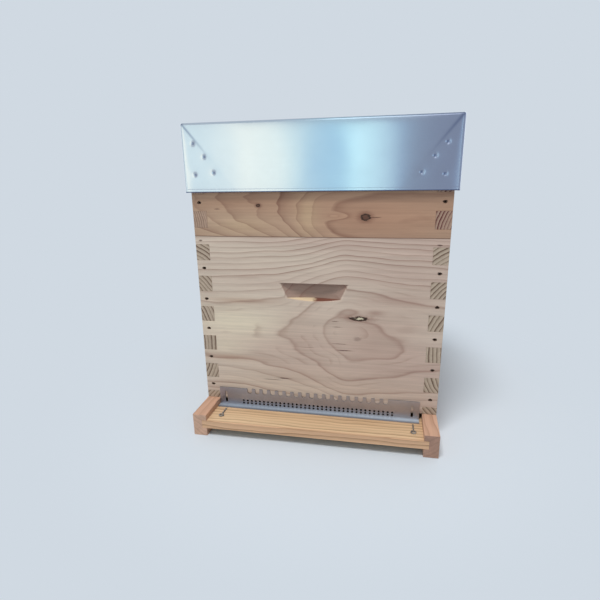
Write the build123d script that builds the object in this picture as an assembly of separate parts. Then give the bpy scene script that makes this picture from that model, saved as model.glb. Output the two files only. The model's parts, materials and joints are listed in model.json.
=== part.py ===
"""Ten-frame wooden box beehive: floor, deep body, super, crown board and folded sheet roof.

Millimetres, +Z up, front towards -Y. The origin is at the bottom centre of the whole hive's box.
"""

import os
from math import cos, radians, sin, sqrt

from build123d import *

# Boxes
BOX_W = 430
BOX_D = 500
BODY_H = 310
SUPER_H = 170
BOARD_T = 25
BODY_FINGERS = 11
SUPER_FINGERS = 6

# Hand holds: chord of a revolved cutter, in from the face of the board
HOLD_W_TOP = 117
HOLD_W_LOW = 95
HOLD_DEPTH = 15
HOLD_SIDE_H = 27
HOLD_LIP_H = 5
HOLD_OFFSET_X = -4
BODY_HOLD_TOP = 231
SUPER_HOLD_TOP = 126

# Floor
RAIL_W = 25
RAIL_H = 41
LANDING = 70
FLOOR_T = 15
FLOOR_TOP = 30
GROOVE_D = 8.5
FLOOR_BOARDS = 4
FLOOR_GAP = 0.5

# Roof and crown board
ROOF_W = 445
ROOF_D = 515
ROOF_H = 105
SHEET_T = 1
FOLD_R = 2.5
HEM_H = 6
EAR_W = 68
EAR_T = 1.4
LINING_T = 3
LINING_GAP = 2
CROWN_T = 8

# Entrance gate
GATE_L = 374
GATE_X = -2
GATE_H = 34.5
GATE_T = 1
GATE_LIP = 15
GATE_BEND_R = 1
GATE_STANDOFF = 1
NOTCHES = 18
NOTCH_PITCH = 15
NOTCH_W = 9
NOTCH_DEPTH = 10
HOLES_IN_ROW = 36
HOLE_PITCH = 8
HOLE_D = 4.6
HOLE_ROWS_Z = (4.4, 9.6)
SLOT_X = 174.5
SLOT_W = 4.5
SLOT_Z = (4, 27)

# Screw eyes for the gate, lying on the landing board in front of its slots
EYE_WIRE_D = 2.2
EYE_D = 7.8
EYE_SHANK_L = 23
EYE_POINT_L = 2.5
EYE_POINT_TAPER = 20
EYE_X = (-170, 174)
EYE_Y = -297.5

# Side hooks, in the plane of the hive's side
HOOK_D = 2.5
HOOK_EYE_D = 7
HOOK_ARM = 75
HOOK_CRANK = 80
HOOK_TAB = 25
HOOK_TURN = 60
HOOK_TAB_TURN = -55
HOOK_BEND_R = 6
HOOK_REST_TILT = -14
HOOK_SWING = 108
HOOK_PIVOT_Y = 40
HOOK_PIVOT_Z = 20
HOOK_GAP = 0.4
CATCH_ALONG = 9

# Screws and nails
SCREW_D = 3.5
SCREW_HEAD_D = 7.4
SCREW_HEAD_H = 2
SCREW_TAPER = 40
SCREW_DEPTH = 16
NAIL_W = 3
NAIL_L = 45
NAIL_INSET = 12.5
NAIL_SET = 2
NAIL_SET_D = 5

# Facets: small holes, wires and all but the hooks' pivots are many-sided rather than round
HOLE_SIDES = 10
NAIL_HOLE_SIDES = 8
WIRE_SIDES = 8
EYE_STEPS = 15
EYE_SWEEP = 335
BEND_STEPS = 3

# Frames
BODY_FRAMES = 10
SUPER_FRAMES = 9
TOP_BAR_L = 470
TOP_BAR_W = 25
LUG_T = 10
FRAME_L = 435
BODY_FRAME_H = 300
SUPER_FRAME_H = 160
BODY_TOP_BAR_T = 20
SUPER_TOP_BAR_T = 15
SIDE_BAR_W = 24
SIDE_BAR_T = 8
LATH_W = 10
LATH_H = 8
BEE_SPACE = 7

# Spacer strips
REBATE_D = 13
STRIP_T = 1
STRIP_W = 12
STRIP_H = 8
LUG_PLAY = 0.5

# Places that follow from the sizes above
ROOF_OVERHANG = (ROOF_D - BOX_D) / 2
CENTRE_Y = (LANDING - ROOF_OVERHANG) / 2
INSIDE_W = BOX_W - 2 * BOARD_T
FRONT_Y = -BOX_D / 2
BODY_Z = RAIL_H
SUPER_Z = BODY_Z + BODY_H
CROWN_Z = SUPER_Z + SUPER_H
LINING_Z = CROWN_Z + CROWN_T
ROOF_TOP = LINING_Z + LINING_T + SHEET_T
GATE_BACK_Y = FRONT_Y - GATE_STANDOFF
REBATE_H = BEE_SPACE + LUG_T + STRIP_T
SIDE_X = BOX_W / 2


def block(x, y, z):
    """Rectangular piece between two corners, each axis given as a pair."""
    size = [high - low for low, high in (x, y, z)]
    centre = [(high + low) / 2 for low, high in (x, y, z)]
    return Pos(*centre) * Box(*size)


def opposite(piece):
    """The same piece on the other side of the hive, turned half round."""
    return Rot(0, 0, 180) * piece


def finger_zones(height, pitches):
    """Levels of the corner fingers from the bottom up: a half finger at each end, whole ones between."""
    pitch = height / pitches
    levels = [0] + [pitch * (i + 0.5) for i in range(pitches)] + [height]
    return list(zip(levels, levels[1:]))


def board_outline(length, zones, cut_from):
    """Upright board with every second finger cut out of both its ends, starting at zone cut_from."""
    height = zones[-1][1]
    face = Pos(0, height / 2) * Rectangle(length, height)
    for low, high in zones[cut_from::2]:
        for side in (-1, 1):
            x = side * (length - BOARD_T) / 2
            face -= Pos(x, (low + high) / 2) * Rectangle(BOARD_T, high - low)
    return face


def hand_hold_cutter(top):
    """Dish under a straight top ledge, turned about an upright axis outside the face y = 0."""
    half_top = HOLD_W_TOP / 2
    half_low = HOLD_W_LOW / 2
    axis_out = (half_top**2 - HOLD_DEPTH**2) / (2 * HOLD_DEPTH)
    r_top = axis_out + HOLD_DEPTH
    r_low = sqrt(axis_out**2 + half_low**2)
    low = top - HOLD_SIDE_H
    profile = Polyline(
        (0, top),
        (r_top, top),
        (r_low, low),
        (axis_out, low - HOLD_LIP_H),
        (0, low - HOLD_LIP_H),
        close=True,
    )
    dish = revolve(make_face(Plane.XZ * profile), Axis.Z)
    return Pos(0, -axis_out, 0) * dish


def nail_places(zones, nailed_from):
    """Across and up, from the bottom centre of the front: one nail in each whole long-grain finger."""
    half_fingers = (zones[0], zones[-1])
    nailed = [zone for zone in zones[nailed_from::2] if zone not in half_fingers]
    across = SIDE_X - NAIL_INSET
    return [(x, (low + high) / 2) for low, high in nailed for x in (-across, across)]


def nail():
    """Nail along +Y, its head set below a face at y = 0."""
    return Pos(0, NAIL_SET + NAIL_L / 2, 0) * Box(NAIL_W, NAIL_L, NAIL_W)


def nail_hole():
    """Hole that the nail's head is set into, along +Y from a face at y = 0."""
    mouth = Plane((0, 0, 0), x_dir=(1, 0, 0), z_dir=(0, 1, 0))
    return extrude(mouth * RegularPolygon(NAIL_SET_D / 2, NAIL_HOLE_SIDES), NAIL_SET)


def front_board(height, zones, cut_from, hold_top):
    """Front board of a box: fingers, nail holes, rebate for the frame lugs, hand hold."""
    inside_y = FRONT_Y + BOARD_T
    plane = Plane((0, inside_y, 0), x_dir=(1, 0, 0), z_dir=(0, -1, 0))
    board = extrude(plane * board_outline(BOX_W, zones, cut_from), BOARD_T)
    half = INSIDE_W / 2
    board -= block((-half, half), (inside_y - REBATE_D, inside_y), (height - REBATE_H, height))
    board -= [Pos(x, FRONT_Y, z) * nail_hole() for x, z in nail_places(zones, 1 - cut_from)]
    return board - Pos(HOLD_OFFSET_X, FRONT_Y, 0) * hand_hold_cutter(hold_top)


def right_board(zones, cut_from, hold_top):
    """Right-hand board of a box, between the fingers of the front and back boards."""
    plane = Plane((SIDE_X - BOARD_T, 0, 0), x_dir=(0, 1, 0), z_dir=(1, 0, 0))
    board = extrude(plane * board_outline(BOX_D, zones, cut_from), BOARD_T)
    return board - Pos(SIDE_X, 0, 0) * Rot(0, 0, 90) * hand_hold_cutter(hold_top)


def corner_nails(zones, nailed_from):
    """Nails driven from the front and the back through the long-grain fingers at each corner."""
    front = [Pos(x, FRONT_Y, z) * nail() for x, z in nail_places(zones, nailed_from)]
    return front + [opposite(one) for one in front]


def spacer_strip(height, frames):
    """Bent strip on the front rebate, with a notch that holds each frame's lug."""
    inside_y = FRONT_Y + BOARD_T
    seat = height - REBATE_H
    half = INSIDE_W / 2
    pitch = INSIDE_W / frames
    notch_w = TOP_BAR_W + 2 * LUG_PLAY
    comb = Pos(0, STRIP_H / 2) * Rectangle(INSIDE_W, STRIP_H)
    for i in range(frames):
        x = (i + 0.5) * pitch - half
        comb -= Pos(x, (STRIP_H + STRIP_T) / 2) * Rectangle(notch_w, STRIP_H - STRIP_T)
    plane = Plane((0, inside_y, seat), x_dir=(1, 0, 0), z_dir=(0, -1, 0))
    flange = extrude(plane * comb, STRIP_T)
    return flange + block((-half, half), (inside_y - STRIP_W, inside_y), (seat, seat + STRIP_T))


def frame(x, base, height, top_bar_t):
    """Comb frame hanging front to back: top bar with lugs, two side bars, two bottom laths."""
    top = base + height
    half_bar = TOP_BAR_L / 2
    half_frame = FRAME_L / 2
    half_window = half_frame - SIDE_BAR_T
    outline = Polyline(
        (-half_bar, top),
        (half_bar, top),
        (half_bar, top - LUG_T),
        (half_window, top - LUG_T),
        (half_window, top - top_bar_t),
        (-half_window, top - top_bar_t),
        (-half_window, top - LUG_T),
        (-half_bar, top - LUG_T),
        close=True,
    )
    plane = Plane((x - TOP_BAR_W / 2, 0, 0), x_dir=(0, 1, 0), z_dir=(1, 0, 0))
    pieces = [extrude(plane * make_face(outline), TOP_BAR_W)]
    side_x = (x - SIDE_BAR_W / 2, x + SIDE_BAR_W / 2)
    for y in ((-half_frame, -half_window), (half_window, half_frame)):
        pieces.append(block(side_x, y, (base, top - LUG_T)))
    for lath_x in ((side_x[0], side_x[0] + LATH_W), (side_x[1] - LATH_W, side_x[1])):
        pieces.append(block(lath_x, (-half_window, half_window), (base, base + LATH_H)))
    return pieces


def frame_places(count):
    """Middle of each frame across the box."""
    pitch = INSIDE_W / count
    return [(i + 0.5) * pitch - INSIDE_W / 2 for i in range(count)]


def rail_nail_places():
    """Where nails go through the right-hand rail into the ends of the floor boards."""
    depth = (BOX_D + LANDING) / FLOOR_BOARDS
    front = FRONT_Y - LANDING
    z = FLOOR_TOP - FLOOR_T / 2
    return [Pos(SIDE_X, front + (i + 0.5) * depth, z) * Rot(0, 0, 90) for i in range(FLOOR_BOARDS)]


def floor_rail():
    """Right-hand rail, grooved on its inner face from end to end."""
    y = (FRONT_Y - LANDING, BOX_D / 2)
    inner = SIDE_X - RAIL_W
    rail = block((inner, SIDE_X), y, (0, RAIL_H))
    rail -= [place * nail_hole() for place in rail_nail_places()]
    return rail - block((inner, inner + GROOVE_D), y, (FLOOR_TOP - FLOOR_T, FLOOR_TOP))


def floor_board(index):
    """One floor board, housed in both rails, counted from the front."""
    depth = (BOX_D + LANDING) / FLOOR_BOARDS
    front = FRONT_Y - LANDING + index * depth
    reach = SIDE_X - RAIL_W + GROOVE_D
    back = front + depth - FLOOR_GAP
    return block((-reach, reach), (front, back), (FLOOR_TOP - FLOOR_T, FLOOR_TOP))


def floor_nails():
    """Nails through both rails into the ends of the floor boards."""
    right = [place * nail() for place in rail_nail_places()]
    return right + [mirror(one, Plane.YZ) for one in right]


def notch():
    """Outline cut out of the gate's top edge: straight sides down to a round foot."""
    foot = GATE_H - NOTCH_DEPTH + NOTCH_W / 2
    sides = Pos(0, (foot + GATE_H) / 2) * Rectangle(NOTCH_W, GATE_H - foot)
    return sides + Pos(0, foot) * RegularPolygon(NOTCH_W / 2, HOLE_SIDES)


def gate_bend():
    """Quarter round that joins the gate's upright to its lip."""
    outer = GATE_BEND_R + GATE_T
    ring = Circle(outer) - Circle(GATE_BEND_R)
    quarter = ring & Pos(outer / 2, -outer / 2) * Rectangle(outer, outer)
    across = Plane((-GATE_L / 2, -outer, outer), x_dir=(0, 1, 0), z_dir=(1, 0, 0))
    return extrude(across * quarter, GATE_L)


def entrance_gate():
    """Bent sheet: notched and perforated upright, and a lip folded forward on the landing board."""
    outer = GATE_BEND_R + GATE_T
    plate = Pos(0, (outer + GATE_H) / 2) * Rectangle(GATE_L, GATE_H - outer)
    for i in range(NOTCHES):
        plate -= Pos((i - (NOTCHES - 1) / 2) * NOTCH_PITCH, 0) * notch()
    for i in range(HOLES_IN_ROW):
        x = (i - (HOLES_IN_ROW - 1) / 2) * HOLE_PITCH
        for z in HOLE_ROWS_Z:
            plate -= Pos(x, z) * RegularPolygon(HOLE_D / 2, HOLE_SIDES)
    slot_l = SLOT_Z[1] - SLOT_Z[0]
    for side in (-1, 1):
        plate -= Pos(side * SLOT_X, sum(SLOT_Z) / 2) * SlotOverall(slot_l, SLOT_W, rotation=90)
    upright = Plane((0, 0, 0), x_dir=(1, 0, 0), z_dir=(0, -1, 0))
    sheet = extrude(upright * plate, GATE_T) + gate_bend()
    half_l = GATE_L / 2
    sheet += block((-half_l, half_l), (-GATE_T - GATE_LIP, -outer), (0, GATE_T))
    return Pos(GATE_X, GATE_BACK_Y, FLOOR_TOP) * sheet


def eye_points(diameter):
    """Turns of a wire eye about the origin, ending at (diameter / 2, 0) where the wire leaves it."""
    angles = [radians(EYE_SWEEP * (i / EYE_STEPS - 1)) for i in range(EYE_STEPS + 1)]
    return [(diameter / 2 * cos(a), diameter / 2 * sin(a)) for a in angles]


def bent_points(corners, radius):
    """Points along a wire path whose corners are bent to a radius in short straight steps."""
    path = FilletPolyline(*corners, radius=radius)
    points = []
    for edge in path.edges():
        steps = 1 if edge.geom_type == GeomType.LINE else BEND_STEPS
        points += [edge @ (i / steps) for i in range(steps)]
    return points + [path @ 1]


def wire(points, diameter):
    """Wire of that diameter along straight steps, mitred at every one."""
    path = Polyline(*points)
    section = Plane(path @ 0, z_dir=path % 0) * RegularPolygon(diameter / 2, WIRE_SIDES)
    return sweep(section, path=path, transition=Transition.RIGHT)


def gate_screw_eye(x):
    """Screw eye lying on the landing board, its point towards the gate."""
    z = FLOOR_TOP + EYE_WIRE_D / 2
    ring = [(x - across, EYE_Y + along, z) for along, across in eye_points(EYE_D)]
    shank_end = (x, EYE_Y + EYE_D / 2 + EYE_SHANK_L - EYE_POINT_L, z)
    section = Plane(shank_end, z_dir=(0, 1, 0)) * RegularPolygon(EYE_WIRE_D / 2, WIRE_SIDES)
    point = extrude(section, EYE_POINT_L, taper=EYE_POINT_TAPER)
    return wire(ring + [shank_end], EYE_WIRE_D) + point


def hook_points(tilt):
    """Corners of the hook's centre line, forward and up from its eye, with its arm at that tilt."""
    headings = (tilt, tilt + HOOK_TURN, tilt + HOOK_TURN + HOOK_TAB_TURN)
    points = [(0.0, 0.0)]
    for length, heading in zip((HOOK_ARM, HOOK_CRANK, HOOK_TAB), headings):
        forward, up = points[-1]
        points.append((forward + length * cos(radians(heading)), up + length * sin(radians(heading))))
    return points


def hook_plane_x():
    """Middle of the hook's wire, clear of the hive's side."""
    return SIDE_X + HOOK_GAP + HOOK_D / 2


def side_hook():
    """Right-hand Z-bent hook, lying unlatched beside the rail."""
    tilt = radians(HOOK_REST_TILT)
    eye = []
    for along, across in eye_points(HOOK_EYE_D):
        eye.append((along * cos(tilt) - across * sin(tilt), along * sin(tilt) + across * cos(tilt)))
    corners = eye[-1:] + hook_points(HOOK_REST_TILT)[1:]

    def placed(points):
        return [(hook_plane_x(), HOOK_PIVOT_Y - forward, HOOK_PIVOT_Z + up) for forward, up in points]

    return wire(placed(eye[:-1]) + bent_points(placed(corners), HOOK_BEND_R), HOOK_D)


def catch_place():
    """Catch screw inside the hook's crook, forward and up from the pivot, with the hook swung up."""
    latched = HOOK_REST_TILT + HOOK_SWING
    crook = hook_points(latched)[1]
    crank = radians(latched + HOOK_TURN)
    clear = HOOK_D / 2 + SCREW_D / 2 + HOOK_GAP
    forward = crook[0] + CATCH_ALONG * cos(crank) - clear * sin(crank)
    up = crook[1] + CATCH_ALONG * sin(crank) + clear * cos(crank)
    return forward, up


def side_screw(y, z, section):
    """Screw in the right-hand side, standing out far enough for the hook's wire under its head."""
    head_x = hook_plane_x() + HOOK_D / 2 + HOOK_GAP
    shank_l = head_x - SIDE_X + SCREW_DEPTH
    shank = extrude(section, shank_l)
    head = extrude(RegularPolygon(SCREW_HEAD_D / 2, HOLE_SIDES), SCREW_HEAD_H, taper=SCREW_TAPER)
    screw = shank + Pos(0, 0, shank_l) * head
    return Pos(SIDE_X - SCREW_DEPTH, y, z) * Rot(0, 90, 0) * screw


def side_screws(y, z, section):
    """The same screw on both sides of the hive, its shank of that section."""
    screw = side_screw(y, z, section)
    return [screw, mirror(screw, Plane.YZ)]


def roof_sheet():
    """Folded sheet: top and skirt in one, hemmed edge, corner ears folded in behind front and back."""
    low = ROOF_TOP - ROOF_H
    inner_w = ROOF_W - 2 * SHEET_T
    inner_d = ROOF_D - 2 * SHEET_T

    def folded(width, depth, top, radius):
        shape = block((-width / 2, width / 2), (-depth / 2, depth / 2), (low, top))
        edges = shape.edges().filter_by(Axis.Z) + shape.faces().sort_by(Axis.Z)[-1].edges()
        return fillet(edges, radius)

    sheet = folded(ROOF_W, ROOF_D, ROOF_TOP, FOLD_R)
    sheet -= folded(inner_w, inner_d, ROOF_TOP - SHEET_T, FOLD_R - SHEET_T)
    hem = block((-inner_w / 2, inner_w / 2), (-inner_d / 2, inner_d / 2), (low, low + HEM_H))
    hem -= block(
        (SHEET_T - inner_w / 2, inner_w / 2 - SHEET_T),
        (SHEET_T - inner_d / 2, inner_d / 2 - SHEET_T),
        (low, low + HEM_H),
    )
    sheet += hem
    corner = inner_w / 2
    ear_outline = Polyline(
        (corner, ROOF_TOP - SHEET_T),
        (corner, low),
        (corner - EAR_W, low),
        close=True,
    )
    plane = Plane((0, -inner_d / 2 + EAR_T, 0), x_dir=(1, 0, 0), z_dir=(0, -1, 0))
    ear = extrude(plane * make_face(ear_outline), EAR_T)
    for half in (ear, mirror(ear, Plane.YZ)):
        sheet += half
        sheet += opposite(half)
    return sheet


def write(name, pieces):
    """Shifts a piece, or a group of like pieces, to the hive's frame and writes it as one node."""
    solids = pieces if isinstance(pieces, list) else [pieces]
    placed = [Pos(0, CENTRE_Y, 0) * solid for solid in solids]
    whole = placed[0] if len(placed) == 1 else Compound(placed)
    export_step(whole, f"parts/{name}.step")


def write_box(name, base, height, pitches, side_first, hold_top, frames):
    """Four finger-jointed boards of a box, its spacer strips and its corner nails."""
    zones = finger_zones(height, pitches)
    lift = Pos(0, 0, base)
    front = lift * front_board(height, zones, side_first, hold_top)
    right = lift * right_board(zones, 1 - side_first, hold_top)
    strip = lift * spacer_strip(height, frames)
    write(f"{name}_front_board", front)
    write(f"{name}_back_board", opposite(front))
    write(f"{name}_right_board", right)
    write(f"{name}_left_board", opposite(right))
    write(f"{name}_spacer_front", strip)
    write(f"{name}_spacer_back", opposite(strip))
    write(f"{name}_corner_nails", [lift * nail for nail in corner_nails(zones, 1 - side_first)])


def write_floor():
    """Rails, floor boards, closing bar and the fasteners in them."""
    rail = floor_rail()
    write("floor_rail_right", rail)
    write("floor_rail_left", mirror(rail, Plane.YZ))
    write("landing_board", floor_board(0))
    for i in range(1, FLOOR_BOARDS):
        write(f"floor_board_{i + 1}", floor_board(i))
    half = INSIDE_W / 2
    back = BOX_D / 2
    write("rear_closing_bar", block((-half, half), (back - BOARD_T, back), (FLOOR_TOP, RAIL_H)))
    write("floor_nails", floor_nails())
    pivot = Circle(SCREW_D / 2)
    write("hook_pivot_screws", side_screws(HOOK_PIVOT_Y, HOOK_PIVOT_Z, pivot))


def write_entrance():
    """Gate and the two screw eyes that go with it."""
    write("entrance_gate", entrance_gate())
    for side, x in zip(("left", "right"), EYE_X):
        write(f"gate_screw_eye_{side}", gate_screw_eye(x))


def write_hooks():
    """Side hooks, and the screws on the body that they swing up to."""
    hook = side_hook()
    write("side_hook_right", hook)
    write("side_hook_left", mirror(hook, Plane.YZ))
    forward, up = catch_place()
    catch = RegularPolygon(SCREW_D / 2, HOLE_SIDES)
    write("hook_catch_screws", side_screws(HOOK_PIVOT_Y - forward, HOOK_PIVOT_Z + up, catch))


def write_frames(name, count, base, height, top_bar_t):
    """The frames of one box, counted from the left."""
    for i, x in enumerate(frame_places(count)):
        write(f"{name}_{i + 1:02d}", frame(x, base, height, top_bar_t))


def write_cover():
    """Crown board, roof sheet and the lining under it."""
    write("crown_board", block((-SIDE_X, SIDE_X), (FRONT_Y, -FRONT_Y), (CROWN_Z, LINING_Z)))
    write("roof_sheet", roof_sheet())
    half_w = ROOF_W / 2 - SHEET_T - LINING_GAP
    half_d = ROOF_D / 2 - SHEET_T - LINING_GAP
    lining_z = (LINING_Z, LINING_Z + LINING_T)
    write("roof_lining", block((-half_w, half_w), (-half_d, half_d), lining_z))


os.makedirs("parts", exist_ok=True)
write_floor()
write_entrance()
write_hooks()
write_box("body", BODY_Z, BODY_H, BODY_FINGERS, 0, BODY_HOLD_TOP, BODY_FRAMES)
write_box("super", SUPER_Z, SUPER_H, SUPER_FINGERS, 1, SUPER_HOLD_TOP, SUPER_FRAMES)
body_frame_z = BODY_Z + BODY_H - BEE_SPACE - BODY_FRAME_H
super_frame_z = SUPER_Z + SUPER_H - BEE_SPACE - SUPER_FRAME_H
write_frames("body_frame", BODY_FRAMES, body_frame_z, BODY_FRAME_H, BODY_TOP_BAR_T)
write_frames("super_frame", SUPER_FRAMES, super_frame_z, SUPER_FRAME_H, SUPER_TOP_BAR_T)
write_cover()
print("hive size", ROOF_W, LANDING + BOX_D + ROOF_OVERHANG, ROOF_TOP)
print("hook pivot", hook_plane_x(), HOOK_PIVOT_Y + CENTRE_Y, HOOK_PIVOT_Z)
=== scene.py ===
import json
import math
from functools import partial, reduce

import bmesh
import bpy
from mathutils import Matrix, Vector

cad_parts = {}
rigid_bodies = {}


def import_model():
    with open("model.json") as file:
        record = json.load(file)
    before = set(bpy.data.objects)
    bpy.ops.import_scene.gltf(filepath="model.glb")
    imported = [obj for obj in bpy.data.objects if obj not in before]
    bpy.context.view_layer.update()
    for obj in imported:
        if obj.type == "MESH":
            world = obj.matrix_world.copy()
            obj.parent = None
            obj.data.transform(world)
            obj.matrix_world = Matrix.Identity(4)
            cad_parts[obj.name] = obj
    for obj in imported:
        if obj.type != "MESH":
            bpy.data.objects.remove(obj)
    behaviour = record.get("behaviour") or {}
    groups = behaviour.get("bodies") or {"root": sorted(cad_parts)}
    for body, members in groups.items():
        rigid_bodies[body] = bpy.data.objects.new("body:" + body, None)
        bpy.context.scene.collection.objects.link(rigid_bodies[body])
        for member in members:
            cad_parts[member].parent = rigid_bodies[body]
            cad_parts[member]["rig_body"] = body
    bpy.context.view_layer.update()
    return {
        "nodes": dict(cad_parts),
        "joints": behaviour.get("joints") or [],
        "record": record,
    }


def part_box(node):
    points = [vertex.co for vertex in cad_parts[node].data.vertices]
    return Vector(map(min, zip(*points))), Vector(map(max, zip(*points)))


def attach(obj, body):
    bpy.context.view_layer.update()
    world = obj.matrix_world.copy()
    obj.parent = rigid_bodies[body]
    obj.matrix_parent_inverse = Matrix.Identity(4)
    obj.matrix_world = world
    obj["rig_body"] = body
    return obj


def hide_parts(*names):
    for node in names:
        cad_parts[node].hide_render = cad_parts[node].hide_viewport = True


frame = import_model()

# Camera, as the photograph was taken: metres and radians, with the lens and sensor in mm
CAMERA_PLACE = (0.1242, -0.9248, 0.4305)
CAMERA_YAW = 0.1908
CAMERA_PITCH = -0.285
CAMERA_ROLL = -0.0109
CAMERA_LENS = 25.66
SENSOR = 36
CAMERA_SHIFT = (-0.0158, 0.0214)

# Stage and light
BACKDROP = (0.631, 0.694, 0.761)
FLOOR_ALBEDO = (0.70, 0.75, 0.80)
FLOOR_SIZE = 30.0
FLOOR_FADE = (0.32, 0.62)
WORLD_LIGHT = 0.50
AIM = (0, 0, 0.25)
LAMPS = (
    ("key", (-0.3, -1.4, 3.4), 1.1, 70),
    ("right", (2.4, 1.0, 1.3), 2.6, 10),
    ("left", (-2.4, 1.0, 1.3), 2.6, 8),
    ("back", (0.7, 2.5, 1.3), 2.8, 12),
)
# Softboxes before the hive, which sheet metal mirrors: left and right end and heights in metres, and light
SOFTBOX_Y = -1.5
LOW_BOX = (0.28, 0.78)
HIGH_BOX = (0.98, 1.80)
SOFTBOXES = {
    "sky_box": (-1.35, -0.62, LOW_BOX, (0.41, 0.51, 0.45)),
    "window_box": (-0.62, -0.40, LOW_BOX, (0.86, 0.80, 0.56)),
    "shine_box": (-0.40, -0.25, LOW_BOX, (0.52, 0.58, 0.46)),
    "blue_box": (-0.25, -0.08, LOW_BOX, (0.0, 0.13, 0.26)),
    "cyan_box": (-0.08, 0.10, LOW_BOX, (0.80, 1.04, 0.88)),
    "dusk_box": (0.10, 0.17, LOW_BOX, (0.0, 0.14, 0.31)),
    "side_box": (0.84, 1.16, LOW_BOX, (0.60, 0.84, 0.90)),
    "edge_box": (-0.22, 0.40, HIGH_BOX, (1.1, 1.1, 1.05)),
}

# Middle of the boxes, and their outer faces and feet
MIDDLE_Y = (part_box("body_front_board")[0].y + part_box("body_back_board")[1].y) / 2
FRONT_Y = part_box("body_front_board")[0].y
SIDE_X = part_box("body_right_board")[1].x
BACK_Y = 2 * MIDDLE_Y - FRONT_Y
BODY_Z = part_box("body_front_board")[0].z
SUPER_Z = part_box("super_front_board")[0].z

# Finger-jointed boards
BOARD_T = 0.025
BODY_FINGERS = 11
SUPER_FINGERS = 6
REBATE_D = 0.013
REBATE_H = 0.018
HOLD_TOP_W = 0.123
HOLD_LOW_W = 0.100
HOLD_DEPTH = 0.015
HOLD_H = 0.027
HOLD_LIP = 0.005
HOLD_SHIFT = -0.005
BODY_HOLD_TOP = 0.231
SUPER_HOLD_TOP = 0.126
NAIL_INSET = 0.0125
NAIL_SET = 0.002
NAIL_MOUTH = (0.0042, 0.0029)
NAIL_MOUTH_SIDES = 18

# Worked edges, and what counts as flat, sharp and square
EDGE_ROUND = 0.0005
SHORTEST_ARRIS = 0.004
FLAT_ANGLE = math.radians(0.6)
SHARP_ANGLE = math.radians(22)
SQUARE = 0.999
CUT_PAST = 0.01

# Roof sheet
SHEET = 0.001
FOLD = 0.0045
FOLD_TURNS = 5
TOP_FOLD = 0.0035
TOP_FOLD_SIDE = 0.0015
LAP = 0.004
HEM = 0.0045
EAR = 0.088
EAR_SHEET = 0.0009
EAR_GAP = 0.0012
EAR_DROP = 0.004
EAR_FOOT = 0.001
EAR_SLOPE = 0.010
CREASE = 0.0008
CREASE_W = 0.0014
CREASE_DROP = 0.022
STRIP_TOP = 0.004
STRIP_FOOT = 0.016
STRIP_SLOPE = 0.12
LEAN_IN = 0.0010
LEAN_DROP = 0.008
LEAN_END = 0.03
WAVE = 0.00010
WAVE_L = 0.085
HEM_GROOVE = 0.0001
HEM_GROOVE_W = 0.0009
CLINCHES_LEFT = ((0.016, 0.028), (0.034, 0.049), (0.049, 0.074), (0.016, 0.077))
CLINCHES_RIGHT = ((0.019, 0.036), (0.036, 0.055), (0.054, 0.078), (0.020, 0.081))
CLINCH_R = 0.0030
CLINCH_IN = 0.0010
PILLOW_R = 0.009
PILLOW_IN = 0.0003
HEM_ROLL = 0.0015

# Zinc: size of its crystals, and the width that its tones are spread over
SPANGLE_SCALE = 85
SHEET_SPAN = 0.445


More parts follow.
